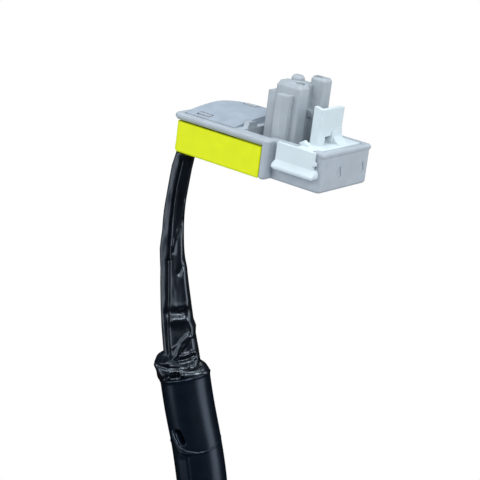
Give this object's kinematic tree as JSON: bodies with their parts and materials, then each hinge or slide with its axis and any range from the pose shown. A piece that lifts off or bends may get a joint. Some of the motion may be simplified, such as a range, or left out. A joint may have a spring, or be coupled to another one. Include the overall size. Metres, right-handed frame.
{
  "type": "airbag connector lead",
  "caption": "Right-angle two-contact airbag plug with a sprung lock, a covered cable case and a sleeved lead that ends in an in-line connector.",
  "frame": {"origin": "on the axis of the plug, level with the housing's top rim, where the connector seats", "axes": "+Z out along the plug, the way it is pushed in; +X along the housing to the head's free end; -Y is the face with the lock's finger lip"},
  "size_m": [0.0323, 0.0193, 0.1158],
  "materials": {
    "grey_plastic": "moulded, smooth satin",
    "grey_textured": "moulded, fine spark texture",
    "grey_insert": "moulded, satin",
    "yellow_plastic": "moulded, satin",
    "white_plastic": "moulded, satin, slightly translucent",
    "contact_metal": "stamped, bright",
    "spring_metal": "stamped strip, bright",
    "ferrite": null,
    "wire_insulation": "smooth insulation",
    "black_sleeve": "thin shrunk film, creased and glossy",
    "black_tube": "smooth flexible tube, soft sheen",
    "black_plastic": "moulded, satin"
  },
  "bodies": {
    "connector": {"outer_shell": "grey_plastic", "cover_plate": "grey_textured", "cable_case": "yellow_plastic", "plug_insert": "grey_insert", "terminal_a": "contact_metal", "terminal_b": "contact_metal", "shorting_clip": "spring_metal", "ferrite_core": "ferrite", "wire_guide": "grey_plastic", "wire_a": "wire_insulation", "wire_b": "wire_insulation", "sleeve": "black_sleeve", "tape_wrap": "black_sleeve", "outer_tube": "black_tube", "lower_tube": "black_tube", "end_housing": "black_plastic", "end_lock": "grey_plastic", "end_terminal_a": "contact_metal", "end_terminal_b": "contact_metal"},
    "lock": {"lock_slider": "white_plastic"}
  },
  "joints": [
    {"name": "lock_press", "type": "slide", "parent": "connector", "child": "lock", "axis": [0, 0, -1], "range_m": [0, 0.0018]}
  ]
}
